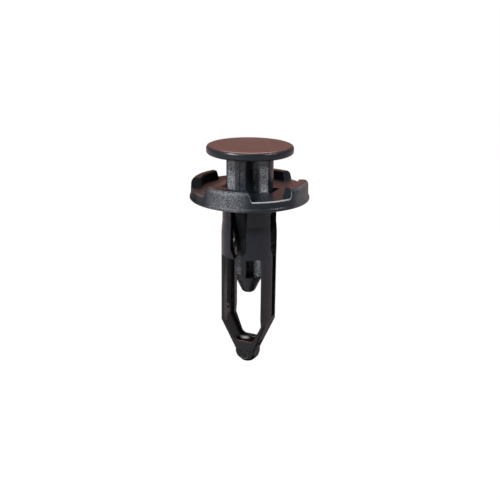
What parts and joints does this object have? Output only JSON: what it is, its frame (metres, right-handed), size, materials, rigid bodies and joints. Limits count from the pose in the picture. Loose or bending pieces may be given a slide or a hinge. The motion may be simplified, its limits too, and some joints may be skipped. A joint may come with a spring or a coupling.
{
  "type": "push-type retainer clip",
  "caption": "Round-headed push pin raised in a flanged, slotted body with legs that join in a small nub.",
  "frame": {"origin": "on the clip's axis, in the plane where the flange rests on the panel", "axes": "+Z out of the panel, through the pin's head; the two legs lie along X"},
  "size_m": [0.018, 0.018, 0.0351],
  "materials": {
    "grommet_plastic": "black moulded, semi-gloss with a fine grain",
    "pin_plastic": "black moulded, semi-gloss with a fine grain"
  },
  "bodies": {
    "grommet": {"grommet": "grommet_plastic"},
    "push_pin": {"push_pin": "pin_plastic"}
  },
  "joints": [
    {"name": "pin_press", "type": "slide", "parent": "grommet", "child": "push_pin", "axis": [0, 0, -1], "range_m": [0, 0.0052]}
  ]
}
